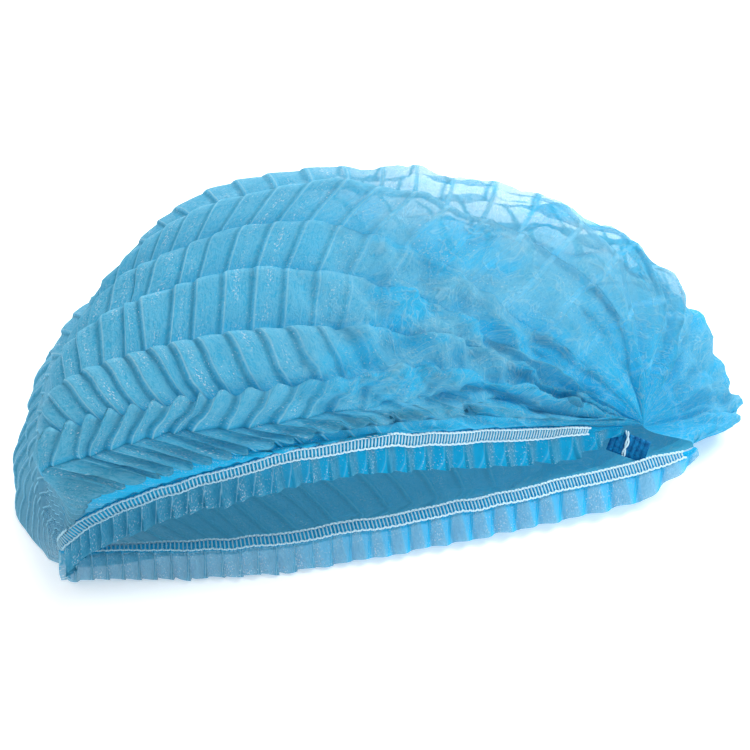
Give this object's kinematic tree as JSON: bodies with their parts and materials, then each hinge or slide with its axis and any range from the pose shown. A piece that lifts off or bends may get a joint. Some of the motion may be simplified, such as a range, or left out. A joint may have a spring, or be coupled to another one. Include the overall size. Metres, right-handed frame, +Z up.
{
  "type": "disposable hair cover cap",
  "caption": "Disposable bouffant cap of pleated non-woven sheet, lying on its back with its gathered elastic mouth and frilled edges towards the viewer.",
  "frame": {"origin": "on the floor under the middle of the cap's bounding box", "axes": "+X from the left gather to the right one, +Y away from the viewer, +Z up from the floor the cap lies on"},
  "size_m": [0.2514, 0.1196, 0.1072],
  "materials": {
    "pleated_nonwoven": "thin light blue non-woven polypropylene, crimped into fine pleats, slightly glossy and see-through",
    "covered_elastic": "flat elastic folded inside the sheet, held by two rows of pale stitching",
    "bonded_nonwoven": "folded layers pressed and bonded into a ribbed darker blue tab"
  },
  "bodies": {
    "root": {"crown": "pleated_nonwoven", "front_frill": "pleated_nonwoven", "back_frill": "pleated_nonwoven", "front_elastic_band": "covered_elastic", "back_elastic_band": "covered_elastic", "left_end_tab": "bonded_nonwoven", "right_end_tab": "bonded_nonwoven"}
  },
  "joints": []
}
